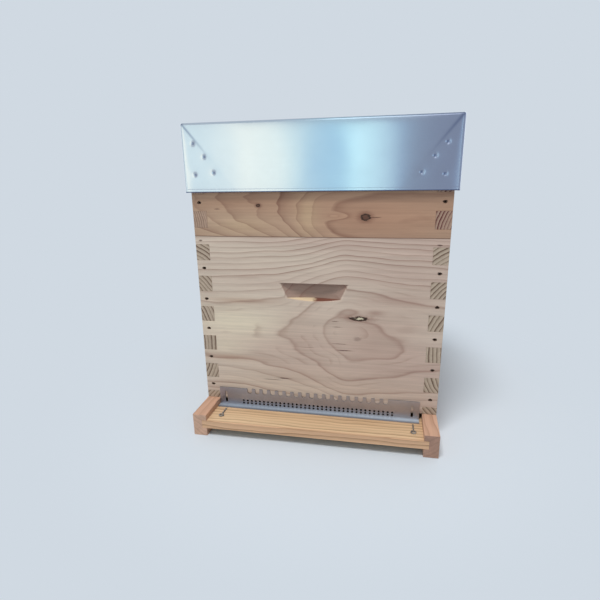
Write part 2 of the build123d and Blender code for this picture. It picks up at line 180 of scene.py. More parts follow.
class Graph:
    """Node graph of a material or the world, with short calls for what they share."""

    def __init__(self, owner, shader):
        owner.use_nodes = True
        self.tree = owner.node_tree
        self.shader = self.tree.nodes[shader]
        self.coords = self.tree.nodes.new("ShaderNodeTexCoord")

    def put(self, value, socket):
        if isinstance(value, bpy.types.NodeSocket):
            self.tree.links.new(value, socket)
        else:
            socket.default_value = value

    def node(self, kind, sockets, **settings):
        """New node with its settings, and values for its sockets by name or number."""
        node = self.tree.nodes.new("ShaderNode" + kind)
        for name, value in settings.items():
            setattr(node, name, value)
        for key, value in sockets.items():
            self.put(value, node.inputs[key])
        return node

    def math(self, operation, *values):
        return self.node("Math", dict(enumerate(values)), operation=operation).outputs[0]

    def add(self, *values):
        return reduce(partial(self.math, "ADD"), values)

    def sub(self, a, b):
        return self.math("SUBTRACT", a, b)

    def mul(self, *values):
        return reduce(partial(self.math, "MULTIPLY"), values)

    def squared(self, a):
        return self.mul(a, a)

    def kinked(self, value, above, below):
        """Value times one slope where it is above nothing, and another below."""
        high, low = (self.math(kind, value, 0.0) for kind in ("MAXIMUM", "MINIMUM"))
        return self.add(self.mul(high, above), self.mul(low, below))

    def away(self, a, b):
        return self.math("SQRT", self.add(self.squared(a), self.squared(b)))

    def bell(self, value, middle, width):
        """1 at middle, falling to nothing a few widths away."""
        u = self.mul(self.sub(value, middle), 1 / width)
        return self.math("EXPONENT", self.mul(self.squared(u), -1.0))

    def reach(self, face, oval):
        """Distance from the middle of an oval on a face, 1 at its rim."""
        return self.away(*(self.mul(self.sub(at, oval[i]), 1 / oval[i + 2]) for i, at in enumerate(face)))

    def spot(self, face, oval):
        """Soft spot on a face, 1 in the middle of an oval."""
        return self.mul(*(self.bell(at, oval[i], oval[i + 2]) for i, at in enumerate(face)))

    def split(self, vector):
        return self.node("SeparateXYZ", {0: vector}).outputs[:3]

    def vector(self, *parts):
        return self.node("CombineXYZ", dict(enumerate(parts))).outputs[0]

    def stretched(self, parts, scales, seed=0.0):
        """Vector of the given coordinates, each times its own scale, moved by the seed."""
        return self.vector(*(self.add(self.mul(part, scale), seed) for part, scale in zip(parts, scales)))

    def noise(self, vector, scale=1.0, detail=2.0, roughness=0.5):
        sockets = {"Vector": vector, "Scale": scale, "Detail": detail, "Roughness": roughness}
        return self.node("TexNoise", sockets).outputs["Fac"]

    def random(self, value):
        return self.node("TexWhiteNoise", {"W": value}, noise_dimensions="1D").outputs["Value"]

    def step(self, value, low, high):
        """Smooth step from 0 at low to 1 at high."""
        sockets = {"Value": value, "From Min": low, "From Max": high}
        return self.node("MapRange", sockets, interpolation_type="SMOOTHSTEP").outputs["Result"]

    def scale(self, value, low, high):
        """Value between 0 and 1 spread over low to high."""
        return self.add(self.mul(value, high - low), low)

    def ramp(self, value, stops, course="LINEAR"):
        node = self.node("ValToRGB", {"Fac": value})
        node.color_ramp.interpolation = course
        elements = node.color_ramp.elements
        while len(elements) < len(stops):
            elements.new(0.5)
        for element, (place, colour) in zip(elements, stops):
            element.position = place
            element.color = (*colour, 1) if isinstance(colour, tuple) else (colour, colour, colour, 1)
        return node.outputs["Color"]

    def mix(self, factor, a, b, blend="MIX"):
        a, b = ((*colour, 1) if isinstance(colour, tuple) else colour for colour in (a, b))
        return self.node("Mix", {0: factor, 6: a, 7: b}, data_type="RGBA", blend_type=blend).outputs[2]

    def shaded(self, colour, shade):
        return self.mix(1.0, colour, self.vector(shade, shade, shade), "MULTIPLY")


class Finish(Graph):
    """Node graph of one material, in the metres of the piece."""

    def __init__(self, name):
        self.material = bpy.data.materials.new(name)
        super().__init__(self.material, "Principled BSDF")
        self.object = self.coords.outputs["Object"]
        self.xyz = self.split(self.object)
        self.facing = self.split(self.coords.outputs["Normal"])

    def bump(self, height, distance, strength):
        sockets = {"Height": height, "Distance": distance, "Strength": strength}
        self.put(self.node("Bump", sockets).outputs["Normal"], self.shader.inputs["Normal"])

    def done(self, colour, roughness, metallic=0.0, specular=0.5):
        finish = {"Base Color": colour, "Roughness": roughness, "Metallic": metallic}
        for name, value in finish.items():
            self.put(value, self.shader.inputs[name])
        self.shader.inputs["Specular IOR Level"].default_value = specular
        return self.material


def linear(red, green, blue):
    """Colour written as the eye sees it, 0 to 255, as the linear values that a shader takes."""
    parts = [value / 255 for value in (red, green, blue)]
    return tuple(v / 12.92 if v < 0.04045 else ((v + 0.055) / 1.055) ** 2.4 for v in parts)


def shades(*colours):
    return tuple(linear(*colour) for colour in colours)


# Wood tones: pale early wood, its warmer patches, dark late wood, end grain
BODY_TONES = shades((213, 194, 176), (201, 175, 160), (142, 104, 90), (190, 170, 150))
SUPER_TONES = shades((191, 162, 137), (178, 143, 118), (112, 68, 54), (178, 148, 128))
FLOOR_TONES = shades((230, 200, 162), (218, 182, 142), (138, 98, 68), (206, 170, 134))
RAIL_TONES = shades((214, 174, 148), (202, 158, 131), (160, 116, 92))
FRAME_TONES = shades((226, 196, 158), (214, 180, 140), (186, 148, 110), (200, 168, 132))
PLY_TONES = shades((216, 188, 150), (206, 174, 134), (176, 140, 104), (150, 118, 88))
KNOT_RIM = linear(58, 40, 30)
KNOT_DARK = linear(98, 66, 52)
KNOT_PALE = linear(222, 208, 178)
STREAK_TONE = linear(84, 54, 46)
# Painted shade in nail holes
NAIL_HOLE_SHADE = linear(78, 56, 44)
# Painted shade inside hand holds and on one end of their lips, and a brown smear on the body's front
SMEAR_AND_SHADE = linear(122, 78, 64)
# Painted highlight on the other end of a hand hold's lip
HOLD_LIP_HIGHLIGHT = linear(228, 203, 168)
END_LINE = linear(104, 80, 64)
RED_END_LINE = linear(98, 50, 46)
CREAM = linear(232, 216, 190)
ROSE = linear(182, 148, 134)
TAN = linear(178, 136, 110)
AMBER = linear(180, 136, 110)
STRAW = linear(206, 176, 140)
# Painted shade along the seam between the two boxes
SEAM_SHADE_TONE = linear(92, 66, 52)
# Painted shade behind the entrance gate, seen through its holes
ENTRANCE_SHADE = linear(40, 31, 26)

# Wood figure: roundness of the pith's rise, wander in ring widths, faint lines within a young ring
RISE_TIP = 0.5
RIPPLE = 0.9
SEASONS = 3
SEASON_LINE = [(0.0, 0.0), (0.55, 0.1), (0.9, 1.0), (1.0, 0.0)]
YOUNG_LINE = [(0.0, 0.2), (0.04, 0.0), (0.6, 0.04), (0.86, 0.28), (0.955, 0.8), (1.0, 0.2)]
# Noise in the wood: scale along and across the grain, seed, detail, roughness
WOOD_NOISE = {
    "sway": (3.2, 5, 0, 2, 0.5),
    "curl": (9, 18, 7, 1, 0.5),
    "tear": (130, 420, 9, 3, 0.65),
    "ripple": (11, 42, 17, 2, 0.5),
    "patch": (3.5, 14, 3, 2, 0.5),
    "season": (9, 40, 19, 2, 0.5),
    "fibre": (9, 330, 0, 3, 0.6),
    "fleck": (55, 1500, 5, 1, 0.5),
    "cloud": (1.6, 9, 11, 3, 0.5),
    "brush": (5, 150, 13, 2, 0.5),
}


def pine(
    name, grain, tones, pith, ring=0.0058, heart=(0.0, 0.01), squeeze=(1.0, 1.0), rise=0.0, fall=None,
    rise_at=0.0, rise_width=0.1, tilt=(0.0, 0.0, 0.0, 1.0), wander=0.012, contrast=0.8, soft=0.0,
    end_contrast=1.0, knots=(), ridges=(), streaks=(), tints=(), end_line=END_LINE, hold=None, nails=None,
    seed=0.0,
):
    """Sawn pine: yearly rings about a pith line that runs along the grain.

    grain orders the axes as along, across and depth. pith is across and depth, in metres. Where the
    pith rises towards the face, the rings close into the eyes of a flat-sawn board, and where its fall
    past that place is smaller, they stay open there. tilt leans the rings by a slope, about a place
    across, from one place along the board to another. heart is the radius of the young wood and the width
    of its rings, and squeeze draws the rings together above and below the pith. Knots are (along, across,
    half length, half height, pale or dark), ridges the same with a height that the rings are pushed by,
    and streaks with a strength. tints are soft patches of another tone, some of them painted shade. hold
    is the middle and foot of a hand hold, with the face that it is cut into and the way in; its inside is
    darkened with painted shade, and its lip has a painted highlight at one end and painted shade at the
    other. nails is how far along, and behind which face, nail holes are darkened with painted shade.
    """
    g = Finish(name)
    along, across, depth = parts = [g.xyz["xyz".index(letter)] for letter in grain]
    face = (along, across)
    end = g.step(g.math("ABSOLUTE", g.facing["xyz".index(grain[0])]), 0.6, 0.9)
    noise = {}
    for kind, (length, width, shift, detail, rough) in WOOD_NOISE.items():
        noise[kind] = g.noise(g.stretched(parts, (length, width, width), seed + shift), 1.0, detail, rough)
    sway, curl, tear, ripple = (g.sub(noise[kind], 0.5) for kind in ("sway", "curl", "tear", "ripple"))

    off_across = g.add(g.sub(across, pith[0]), g.mul(sway, wander))
    away = g.add(g.squared(g.sub(along, rise_at)), (RISE_TIP * rise_width) ** 2)
    near = g.math("EXPONENT", g.mul(g.math("SQRT", away), -1 / rise_width))
    past = g.math("GREATER_THAN", along, rise_at)
    lost = g.mul(g.sub(math.exp(-RISE_TIP), near), g.scale(past, rise, rise if fall is None else fall))
    off_depth = g.sub(g.add(g.sub(depth, pith[1]), rise * math.exp(-RISE_TIP)), lost)
    radius = g.away(g.kinked(off_across, *squeeze), off_depth)
    radius = g.add(radius, g.add(g.mul(curl, 0.4 * wander), g.mul(ripple, RIPPLE * ring)))
    leaning = g.mul(g.step(along, tilt[2], tilt[3]), tilt[0])
    radius = g.add(radius, g.mul(g.sub(tilt[1], across), leaning))
    for *oval, height in ridges:
        radius = g.add(radius, g.mul(g.spot(face, oval), height))
    cores = []
    for *oval, pale in knots:
        reach = g.reach(face, oval)
        bend = g.math("EXPONENT", g.mul(reach, -0.55))
        radius = g.add(radius, g.mul(bend, 1.6 * oval[3]))
        cores.append((g.add(reach, g.mul(tear, 1.8 if pale else 1.3)), pale))

    years = g.kinked(g.sub(radius, heart[0]), 1 / ring, 1 / heart[1])
    through = g.math("FRACT", years)
    is_young = g.math("LESS_THAN", radius, heart[0])
    old_line = [(0.0, 0.0), (0.45, 0.08 + 0.3 * soft), (0.8, 0.45 + 0.25 * soft), (0.95, 1.0), (1.0, 0.0)]
    late = g.mul(g.ramp(through, old_line), g.sub(1.0, is_young))
    late = g.add(late, g.mul(g.ramp(through, YOUNG_LINE), is_young))
    strength = g.scale(g.random(g.add(g.math("FLOOR", years), seed)), 0.35, 1.0)
    late = g.mul(late, g.math("MAXIMUM", strength, is_young))
    lines = g.mul(late, g.scale(noise["patch"], 0.3, 1.4))
    season = g.ramp(g.math("FRACT", g.mul(years, SEASONS)), SEASON_LINE)
    season = g.mul(season, is_young, g.step(noise["season"], 0.42, 0.7))
    lines = g.math("MAXIMUM", lines, g.mul(season, 0.4))

    colour = g.mix(g.step(noise["cloud"], 0.35, 0.68), tones[0], tones[1])
    for *oval, tone, strength in tints:
        colour = g.mix(g.mul(g.spot(face, oval), strength, g.scale(noise["patch"], 0.6, 1.4)), colour, tone)
    colour = g.mix(g.mul(lines, contrast), colour, tones[2])
    cut_lines = g.math("MINIMUM", g.mul(late, end_contrast), 1.0)
    colour = g.mix(end, colour, g.mix(cut_lines, tones[3], end_line))
    for *oval, strength in streaks:
        reach = g.add(g.reach(face, oval), g.mul(tear, 1.2))
        colour = g.mix(g.mul(g.step(reach, 1.1, 0.3), strength), colour, STREAK_TONE)
    for reach, pale in cores:
        colour = g.mix(g.mul(g.step(reach, 2.6, 0.9), 0.5), colour, tones[2])
        colour = g.mix(g.step(reach, 1.2, 0.95), colour, KNOT_RIM)
        if pale:
            heartwood = g.mix(g.step(tear, 0.05, 0.13), KNOT_PALE, KNOT_DARK)
        else:
            heartwood = g.mix(g.step(tear, 0.16, 0.22), KNOT_DARK, KNOT_PALE)
        rim, middle = (0.52, 0.34) if pale else (0.8, 0.55)
        colour = g.mix(g.step(reach, rim, middle), colour, heartwood)
    # Painted shade inside the hand hold; its lip has a painted highlight at one end and painted shade at the
    # other
    if hold:
        middle, foot, outside, inward = hold
        cut_in = g.mul(g.sub(depth, outside), inward)
        half = 0.5 * (HOLD_H + HOLD_LIP)
        level = g.math("ABSOLUTE", g.sub(across, foot + half - HOLD_LIP))
        inside = g.mul(
            g.step(cut_in, 0.0008, 0.002),
            g.step(cut_in, HOLD_DEPTH + 0.0015, HOLD_DEPTH + 0.0005),
            g.step(level, half + 0.0005, half),
            g.step(g.math("ABSOLUTE", g.sub(along, middle)), 0.075, 0.07),
        )
        lip = g.mul(inside, g.step(across, foot + 0.0012, foot - 0.0008))
        hold_lip_shade_side = g.step(g.add(along, g.mul(tear, 0.012)), middle - 0.004, middle + 0.006)
        colour = g.mix(g.mul(inside, 0.6), colour, SMEAR_AND_SHADE)
        colour = g.mix(lip, colour, g.mix(hold_lip_shade_side, HOLD_LIP_HIGHLIGHT, SMEAR_AND_SHADE))
    # Painted shade in the nail holes
    if nails:
        sunk = g.mul(g.step(g.math("ABSOLUTE", along), nails[0], nails[0] + 0.002), g.sub(1.0, end))
        sunk = g.mul(sunk, g.step(depth, nails[1] + 0.0004, nails[1] + 0.0012))
        colour = g.mix(g.mul(sunk, 0.9), colour, NAIL_HOLE_SHADE)
    fibre = noise["fibre"]
    fine = g.mul(g.scale(fibre, 0.84, 1.15), g.scale(noise["fleck"], 0.94, 1.06))
    fine = g.mul(fine, g.scale(noise["brush"], 0.88, 1.12))
    g.bump(g.add(g.mul(lines, 0.6), g.mul(fibre, 0.8)), 0.00018, 0.6)
    return g.done(g.shaded(colour, fine), g.scale(fibre, 0.62, 0.5), specular=0.3)


def galvanised(name, tones, rough, spangle, streak, waves=0.4, lip=None, edge=None, ears=None):
    """Zinc-coated sheet: faint crystals, rolling marks, and painted reflections as broad tones along it.

    lip is the front and back of a lip that looks up, which is painted with a bright sheen between its
    darker front edge and its fold, and is darker towards the left.
    edge is the height below which the sheet's foot is darkened with painted shade. ears is the half width,
    top and height of a folded cover, which has its tones, painted reflections, on the front alone, and
    painted shade along the slanting laps of its corner ears and where it is clinched to them.
    """
    g = Finish(name)
    x, y, z = g.xyz
    crystal = g.split(g.node("TexVoronoi", {"Vector": g.object, "Scale": SPANGLE_SCALE}).outputs["Color"])[0]
    rolled = g.noise(g.stretched(g.xyz, (9.0, 9.0, 260.0)), detail=1.0)
    broad = g.noise(g.stretched(g.xyz, (4.2, 3.1, 2.4), 2.6), detail=1.5)
    # Tones along the sheet: painted reflections
    place = g.add(g.mul(x, 1 / SHEET_SPAN), 0.5, g.mul(g.sub(broad, 0.5), 0.16))
    shade = g.mul(g.scale(crystal, 1 - spangle, 1 + spangle), g.scale(rolled, 1 - streak, 1 + streak))
    colour = g.shaded(g.ramp(place, tones, "B_SPLINE"), shade)
    metallic = 1.0
    # Painted sheen on the lip's upward faces: a bright band between darker edges, darker to the left, and
    # less metallic
    if lip:
        up = g.mul(g.step(g.facing[2], 0.3, 0.9), LIP_SHEEN_STRENGTH)
        lip_sheen = g.ramp(g.mul(g.sub(y, lip[0]), 1 / (lip[1] - lip[0])), LIP_SHEEN_TONES)
        colour = g.mix(up, colour, g.shaded(lip_sheen, g.scale(place, *LIP_SHADE_SPREAD)))
        metallic = g.sub(1.0, g.mul(up, 0.8))
    # Painted shade along the sheet's foot
    if edge:
        colour = g.mix(g.step(z, edge, edge - 0.0005), colour, SHEET_SHADE_TONE)
    if ears:
        half, top, height = ears
        down = g.sub(top, z)
        slant = g.sub(g.mul(down, EAR / height), g.sub(half, g.math("ABSOLUTE", x)))
        # Painted reflections: only the front takes the tones, the rest is plain bright zinc
        colour = g.mix(g.step(g.facing[1], -0.4, -0.8), BRIGHT_ZINC, colour)
        flat = g.step(g.math("ABSOLUTE", g.facing[1]), 0.5, 0.9)
        # Painted shade along the slanting laps of the ears and in the clinch dents
        lap = g.mul(g.bell(slant, 0.0, 2 * CREASE_W), g.step(z, top - LAP_FADE, top))
        colour = g.mix(g.mul(lap, flat, LAP_SHADE), colour, SHEET_SHADE_TONE)
        across = g.mul(x, g.math("SIGN", g.mul(g.facing[1], -1.0)))
        for side, marks in ((-1, CLINCHES_LEFT), (1, CLINCHES_RIGHT)):
            for inward, drop in marks:
                away = g.add(g.squared(g.sub(across, side * (half - inward))), g.squared(g.sub(down, drop)))
                dent_shade = g.step(away, CLINCH_R**2, 0.0)
                colour = g.mix(g.mul(dent_shade, flat, CLINCH_SHADE), colour, SHEET_SHADE_TONE)
    wave = g.noise(g.stretched(g.xyz, (7.0, 7.0, 11.0), 4.0), detail=1.0)
    g.bump(g.add(g.mul(wave, 10 * waves), g.mul(rolled, 0.02)), 0.0006, 0.5)
    film = g.noise(g.stretched(g.xyz, (12.0, 12.0, 20.0), 1.2), detail=1.0)
    return g.done(colour, g.scale(film, rough * 0.85, rough * 1.15), metallic=metallic)


def drawn_metal(name, light, dark, rough, metallic=1.0):
    """Drawn or turned metal: fine scratches and a dull film."""
    g = Finish(name)
    film = g.noise(g.object, scale=220, detail=3.0)
    g.bump(g.noise(g.stretched(g.xyz, (2600, 300, 2600)), detail=1.0), 0.00004, 0.4)
    colour = g.mix(g.step(film, 0.3, 0.7), light, dark)
    return g.done(colour, g.scale(film, rough * 0.8, rough * 1.25), metallic)


def hardboard(name):
    """Pressed board: brown felted fibres."""
    g = Finish(name)
    felt = g.noise(g.object, scale=900, detail=4.0, roughness=0.7)
    cloud = g.noise(g.object, scale=14)
    colour = g.mix(felt, linear(112, 82, 58), linear(156, 120, 88))
    colour = g.mix(g.mul(cloud, 0.3), colour, linear(96, 68, 48))
    g.bump(felt, 0.0001, 0.6)
    return g.done(colour, g.scale(felt, 0.75, 0.6), specular=0.25)


def placed(name, data):
    """New object in the scene."""
    thing = bpy.data.objects.new(name, data)
    bpy.context.scene.collection.objects.link(thing)
    return thing


def new_piece(name, mesh, material, body, slot, *nodes):
    """Puts a mesh in the scene as a piece that rides on a body and stands for CAD nodes."""
    piece = placed(name, mesh)
    if material:
        mesh.materials.clear()
        mesh.materials.append(material)
    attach(piece, body)
    if nodes:
        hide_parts(*nodes)
    return piece


def body_of(node):
    return frame["nodes"][node]["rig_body"]


SLOT_OF = {row["node"]: row["material_slot"] for row in frame["record"]["subparts"]}


def stand_in(node, ending, mesh, material):
    """Piece that stands for one CAD node, on its body."""
    new_piece(node + ending, mesh, material, body_of(node), SLOT_OF[node], node)


def mesh_from(bm, name, smooth=False):
    mesh = bpy.data.meshes.new(name)
    bmesh.ops.recalc_face_normals(bm, faces=bm.faces)
    bm.to_mesh(mesh)
    bm.free()
    for face in mesh.polygons:
        face.use_smooth = smooth
    return mesh


def round_piece(node, ending, bm, material):
    stand_in(node, ending, mesh_from(bm, node, True), material)


def lies_square(face):
    return max(abs(v) for v in face.normal) > SQUARE


def crisp(mesh):
    """The mesh with flat faces flat, bends smooth and corners sharp."""
    for face in mesh.polygons:
        face.use_smooth = not lies_square(face)
    mesh.set_sharp_from_angle(angle=SHARP_ANGLE)
    return mesh


def is_arris(edge):
    """Whether an edge is a long square corner that stands out, as on a planed board."""
    if len(edge.link_faces) != 2 or not edge.is_convex or edge.calc_length() < SHORTEST_ARRIS:
        return False
    return all(lies_square(face) for face in edge.link_faces) and edge.calc_face_angle(0) > 1


def ease(bm, edges, radius):
    bevel = dict(segments=2, profile=0.5, affect="EDGES", clamp_overlap=True)
    bmesh.ops.bevel(bm, geom=edges, offset=radius, **bevel)


def from_node(node):
    """A CAD node's mesh with its corners joined up."""
    bm = bmesh.new()
    bm.from_mesh(frame["nodes"][node].data)
    bmesh.ops.remove_doubles(bm, verts=bm.verts, dist=1e-6)
    return bm


def worked(node, edge=EDGE_ROUND):
    """Mesh of a CAD node with its faces joined up and its sharp edges eased."""
    bm = from_node(node)
    bmesh.ops.dissolve_limit(bm, angle_limit=FLAT_ANGLE, verts=bm.verts, edges=bm.edges)
    ease(bm, [e for e in bm.edges if is_arris(e)], edge)
    return crisp(mesh_from(bm, node + "_worked"))


def dress(node, material, edge=EDGE_ROUND):
    stand_in(node, "_timber", worked(node, edge), material)


def joined(parts):
    """One bmesh from several."""
    whole = bmesh.new()
    for part in parts:
        mesh = bpy.data.meshes.new("part")
        part.to_mesh(mesh)
        part.free()
        whole.from_mesh(mesh)
        bpy.data.meshes.remove(mesh)
    return whole


def cut(bm, cutters):
    """The solid less the cutters, as a mesh."""
    board, knife = (placed("cutting", mesh_from(part, "cutting")) for part in (bm, joined(cutters)))
    saw = board.modifiers.new("saw", "BOOLEAN")
    saw.object = knife
    saw.solver = "EXACT"
    result = bpy.data.meshes.new_from_object(board.evaluated_get(bpy.context.evaluated_depsgraph_get()))
    for done in (board, knife):
        used = done.data
        bpy.data.objects.remove(done)
        bpy.data.meshes.remove(used)
    return crisp(result)


def wrapped(rings, capped=True):
    """Surface around rings of points, closed over the last ring and, if capped, over the first."""
    bm = bmesh.new()
    rings = [[bm.verts.new(point) for point in ring] for ring in rings]
    for near, far in zip(rings, rings[1:]):
        for k in range(len(near)):
            bm.faces.new((near[k - 1], near[k], far[k], far[k - 1]))
    bm.faces.new(rings[-1])
    if capped:
        bm.faces.new(rings[0])
    bmesh.ops.recalc_face_normals(bm, faces=bm.faces)
    return bm


def circle(sides, start=0.0):
    """Points of a circle of radius 1, from a start in sides."""
    angles = [2 * math.pi * (k + start) / sides for k in range(sides)]
    return [(math.cos(a), math.sin(a)) for a in angles]


def prism(outline, low, high):
    """Solid between two planes across y, from an outline in x and z."""
    return wrapped([[(x, y, z) for x, z in outline] for y in (low, high)])


def tube(points, radii, sides=14):
    """Closed tube through points, with a radius at each."""
    points = [Vector(p) for p in points]
    if not isinstance(radii, list):
        radii = [radii] * len(points)
    ends = [points[0], *points, points[-1]]
    tangents = [(after - before).normalized() for before, after in zip(ends, ends[2:])]
    side = tangents[0].orthogonal().normalized()
    rings = []
    for point, tangent, radius in zip(points, tangents, radii):
        side = (side - tangent * side.dot(tangent)).normalized()
        other = tangent.cross(side)
        rings.append([point + (side * u + other * v) * radius for u, v in circle(sides)])
    return wrapped(rings)


def lathe(profile, place, axis, sides=24):
    """Solid turned about an axis: profile is radius and distance along it."""
    turn = Vector((0, 0, 1)).rotation_difference(Vector(axis)).to_matrix().to_4x4()
    bm = wrapped([[(radius * u, radius * v, height) for u, v in circle(sides)] for radius, height in profile])
    bm.transform(Matrix.Translation(place) @ turn)
    return bm


def arc(centre, radius, start, sweep, steps, plane):
    """Points of an arc in a plane given by two unit vectors."""
    u, v = (Vector(w) for w in plane)
    angles = [start + sweep * i / steps for i in range(steps + 1)]
    return [Vector(centre) + u * (radius * math.cos(a)) + v * (radius * math.sin(a)) for a in angles]


def finger_levels(height, pitches):
    pitch = height / pitches
    return [0.0] + [pitch * (i + 0.5) for i in range(pitches)] + [height]


def finger_outline(length, height, pitches, cut_from):
    """Outline of a board whose ends have every second finger cut out."""
    levels = finger_levels(height, pitches)
    right = []
    for i, (low, high) in enumerate(zip(levels, levels[1:])):
        x = length / 2 - (BOARD_T if i % 2 == cut_from else 0)
        right += [(x, low), (x, high)]
    return right + [(-x, z) for x, z in reversed(right)]


def dish(top, shift):
    """Cutter of a hand hold: a turned dish under a straight ledge, with a sloping lip."""
    half_top, half_low = HOLD_TOP_W / 2, HOLD_LOW_W / 2
    out = (half_top**2 - HOLD_DEPTH**2) / (2 * HOLD_DEPTH)
    foot = top - HOLD_H
    profile = [
        (0.001, foot - HOLD_LIP),
        (out, foot - HOLD_LIP),
        (math.hypot(out, half_low), foot),
        (out + HOLD_DEPTH, top),
        (0.001, top),
    ]
    return lathe(profile, (shift, -out, 0), (0, 0, 1), sides=160)


def nail_mouth(x, z, turn):
    """Cutter of the torn hole that a nail's head was driven into."""
    rim = []
    for k in range(NAIL_MOUTH_SIDES):
        a = 2 * math.pi * k / NAIL_MOUTH_SIDES
        ragged = 1 + 0.07 * math.sin(3 * a + turn) + 0.08 * math.sin(5 * a + 2 * turn)
        rim.append((ragged * NAIL_MOUTH[0] * math.cos(a), ragged * NAIL_MOUTH[1] * math.sin(a)))
    near = [(x + u, -0.001, z + v) for u, v in rim]
    far = [(x + 0.8 * u, NAIL_SET, z + 0.8 * v) for u, v in rim]
    return wrapped((near, far))


def board(node, length, pitches, cut_from, hold_top, hold_shift, front):
    """Finger-jointed board with its outer face at y = 0, before it is put in its place."""
    low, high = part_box(node)
    height = high.z - low.z
    bm = prism(finger_outline(length, height, pitches, cut_from), 0, BOARD_T)
    ease(bm, [e for e in bm.edges if e.is_convex], EDGE_ROUND)
    cutters = [dish(hold_top, hold_shift)]
    if front:
        inside = length / 2 - BOARD_T
        foot, top = height - REBATE_H, height + CUT_PAST
        corners = [(-inside, foot), (inside, foot), (inside, top), (-inside, top)]
        cutters.append(prism(corners, BOARD_T - REBATE_D, BOARD_T + CUT_PAST))
        levels = finger_levels(height, pitches)
        for i in range(1, pitches):
            if i % 2 != cut_from:
                z = (levels[i] + levels[i + 1]) / 2
                for x in (-1, 1):
                    cutters.append(nail_mouth(x * (length / 2 - NAIL_INSET), z, 2.1 * i + x))
    return cut(bm, cutters)


def dress_box(box, pitches, side_first, hold_top, tones, **figures):
    """The four boards of a box, each turned to its side of the hive, with the figure of its wood."""
    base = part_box(box + "_front_board")[0].z
    foot = base + hold_top - HOLD_H
    holds = {
        "front": (HOLD_SHIFT, foot, FRONT_Y, 1),
        "right": (MIDDLE_Y, foot, SIDE_X, -1),
        "back": (-HOLD_SHIFT, foot, BACK_Y, -1),
        "left": (MIDDLE_Y, foot, -SIDE_X, 1),
    }
    for turns, (side, hold) in enumerate(holds.items()):
        across = turns % 2 == 0
        node = f"{box}_{side}_board"
        half, reach = (SIDE_X, MIDDLE_Y - FRONT_Y) if across else (MIDDLE_Y - FRONT_Y, SIDE_X)
        shift, cut_from = (HOLD_SHIFT, side_first) if across else (0.0, 1 - side_first)
        mesh = board(node, 2 * half, pitches, cut_from, hold_top, shift, across)
        place = Matrix.Translation((0, MIDDLE_Y, base)) @ Matrix.Rotation(turns * math.pi / 2, 4, "Z")
        mesh.transform(place @ Matrix.Translation((0, -reach, 0)))
        # Every board has painted shade along the seam between the boxes
        figure = {"tints": [SEAM_SHADE], **figures[side]}
        wood = pine(f"{box}_{side}_pine", "xzy" if across else "yzx", tones, hold=hold, **figure)
        stand_in(node, "_timber", mesh, wood)


# Timber of the two boxes: places and half sizes along and across each board, then what pine takes
PITH_OUT = 0.11
BODY_PITH_Z = 0.155
SUPER_PITH_Z = 0.36
BODY_EYE = (0.0568, 0.1845)
SUPER_NOSE = (0.14, 0.38)
SUPER_KNOT = (0.0813, 0.3838, 0.0076, 0.0052, False)
SUPER_SPOT = (-0.0976, 0.4026, 0.0035, 0.0024, False)
SUPER_RIDGE = (0.034, 0.3855, 0.020, 0.0050, 0.0113)
BODY_KNOT = (0.0741, 0.213, 0.0155, 0.0036, True)
BODY_RIDGES = (
    (0.028, 0.140, 0.020, 0.014, 0.0035),
    (0.128, 0.150, 0.028, 0.016, -0.0045),
    (0.150, 0.194, 0.030, 0.010, 0.0030),
)
BODY_STREAKS = (
    (0.072, 0.176, 0.009, 0.0055, 0.35),
    (-0.062, 0.091, 0.016, 0.0016, 0.9),
    (-0.084, 0.087, 0.022, 0.0010, 0.6),
    (0.033, 0.206, 0.008, 0.0008, 0.7),
    (0.037, 0.196, 0.012, 0.0008, 0.6),
    (0.041, 0.165, 0.016, 0.0009, 0.6),
    (0.050, 0.153, 0.019, 0.0012, 0.8),
    (-0.020, 0.155, 0.030, 0.0006, 0.5),
    (-0.2053, 0.3434, 0.0040, 0.0022, 0.8),
    (0.1995, 0.3403, 0.0045, 0.0018, 0.8),
)
# Painted shade along the seam between the boxes
SEAM_SHADE = (0.0, SUPER_Z, 9.0, 0.0008, SEAM_SHADE_TONE, 0.7)
BODY_TINTS = (
    SEAM_SHADE,
    # Painted shade along the foot of the front, seen through the entrance gate
    (0.0, BODY_Z, 0.30, 0.0030, ENTRANCE_SHADE, 1.0),
    (-0.150, 0.196, 0.085, 0.034, CREAM, 0.8),
    (-0.178, 0.150, 0.050, 0.020, CREAM, 0.6),
    (0.078, 0.180, 0.060, 0.042, ROSE, 0.55),
    (-0.020, 0.185, 0.045, 0.050, ROSE, 0.40),
    (-0.140, 0.2375, 0.060, 0.005, TAN, 0.5),
    (-0.165, 0.1265, 0.050, 0.006, TAN, 0.5),
    (0.102, 0.2240, 0.015, 0.005, SMEAR_AND_SHADE, 0.5),
    (0.142, 0.2470, 0.070, 0.010, ROSE, 0.4),
    (0.000, 0.1000, 0.120, 0.020, ROSE, 0.35),
    (0.140, 0.2000, 0.090, 0.090, ROSE, 0.35),
)
SUPER_STREAKS = ((0.096, 0.3835, 0.012, 0.0012, 0.7), (-0.171, 0.397, 0.006, 0.0014, 0.6))
SUPER_TINTS = (
    SEAM_SHADE,
    (0.090, 0.385, 0.15, 0.050, AMBER, 0.75),
    (-0.014, 0.386, 0.018, 0.030, STRAW, 0.55),
    (-0.125, 0.370, 0.040, 0.012, STRAW, 0.4),
    (-0.130, 0.413, 0.070, 0.013, TAN, 0.45),
)
NAILED = (SIDE_X - BOARD_T, FRONT_Y)


BODY_SIDE = dict(ring=0.0066, rise_width=0.16, wander=0.01, contrast=0.85, end_contrast=1.9)

